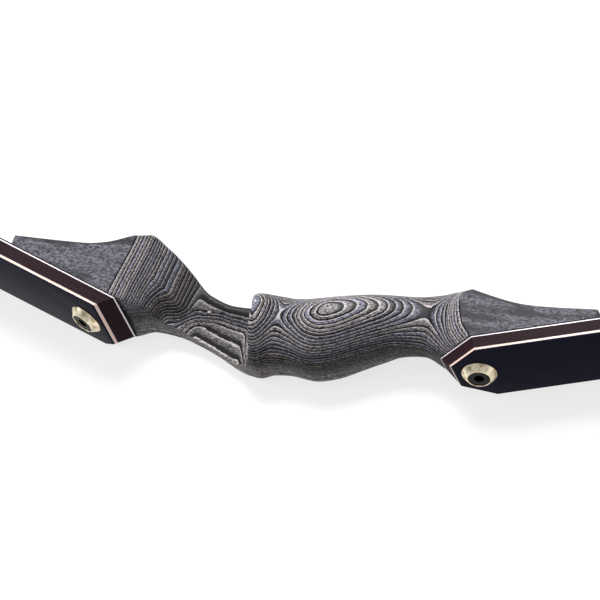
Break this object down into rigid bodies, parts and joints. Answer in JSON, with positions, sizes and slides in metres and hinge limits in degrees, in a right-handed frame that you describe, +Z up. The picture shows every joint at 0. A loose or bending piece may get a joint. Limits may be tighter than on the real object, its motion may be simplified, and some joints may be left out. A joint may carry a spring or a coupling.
{
  "type": "takedown recurve bow",
  "caption": "Takedown recurve bow, unstrung: sculpted laminated wood handle with sight window, layered limbs with recurved tips, held by socket bolts in cone washers.",
  "frame": {"origin": "on the bow's centre plane, midway between the two limb bolts, level with the limbs' outer faces at the bolts, inside the grip", "axes": "+X along the bow towards the lower limb tip, +Y towards the archer (belly side), +Z up, the side the arrow passes on; the bow lies on its other side"},
  "size_m": [1.4362, 0.1371, 0.045],
  "materials": {
    "handle_wood": "satin oiled laminate",
    "core_wood": "satin",
    "black_glass": "gloss",
    "white_veneer": "satin",
    "cream_veneer": "satin",
    "tip_overlay": "gloss",
    "black_steel": "black oxide",
    "brass": "polished",
    "insert_brass": "turned",
    "steel": "ground"
  },
  "bodies": {
    "riser": {"riser": "handle_wood", "upper_threaded_insert": "insert_brass", "upper_locating_pin": "steel", "lower_threaded_insert": "insert_brass", "lower_locating_pin": "steel"},
    "upper_limb": {"upper_core": "core_wood", "upper_belly_glass": "black_glass", "upper_white_veneer": "white_veneer", "upper_cream_veneer": "cream_veneer", "upper_back_glass": "black_glass", "upper_tip_overlay": "tip_overlay"},
    "upper_washer": {"upper_bolt_washer": "brass"},
    "upper_bolt": {"upper_limb_bolt": "black_steel"},
    "lower_limb": {"lower_core": "core_wood", "lower_belly_glass": "black_glass", "lower_white_veneer": "white_veneer", "lower_cream_veneer": "cream_veneer", "lower_back_glass": "black_glass", "lower_tip_overlay": "tip_overlay"},
    "lower_washer": {"lower_bolt_washer": "brass"},
    "lower_bolt": {"lower_limb_bolt": "black_steel"}
  },
  "joints": [
    {"name": "upper_bolt_out", "type": "slide", "parent": "riser", "child": "upper_washer", "axis": [-0.314, -0.9494, 0], "range_m": [0, 0.01625]},
    {"name": "upper_bolt_turn", "type": "hinge", "parent": "upper_washer", "child": "upper_bolt", "pos_m": [-0.1355, 0, 0], "axis": [-0.314, -0.9494, 0], "range_deg": [0, 4680.5]},
    {"name": "upper_limb_lift", "type": "slide", "parent": "riser", "child": "upper_limb", "axis": [-0.314, -0.9494, 0], "range_m": [0, 0.00701]},
    {"name": "lower_bolt_out", "type": "slide", "parent": "riser", "child": "lower_washer", "axis": [0.314, -0.9494, 0], "range_m": [0, 0.01625]},
    {"name": "lower_bolt_turn", "type": "hinge", "parent": "lower_washer", "child": "lower_bolt", "pos_m": [0.1355, 0, 0], "axis": [0.314, -0.9494, 0], "range_deg": [0, 4680.5]},
    {"name": "lower_limb_lift", "type": "slide", "parent": "riser", "child": "lower_limb", "axis": [0.314, -0.9494, 0], "range_m": [0, 0.00701]}
  ],
  "couplings": [
    {"joint": "upper_bolt_turn", "follows": "upper_bolt_out", "rad_per_m": 5026.5},
    {"joint": "upper_limb_lift", "follows": "upper_bolt_out", "ratio": 0.43077},
    {"joint": "lower_bolt_turn", "follows": "lower_bolt_out", "rad_per_m": 5026.5},
    {"joint": "lower_limb_lift", "follows": "lower_bolt_out", "ratio": 0.43077}
  ]
}
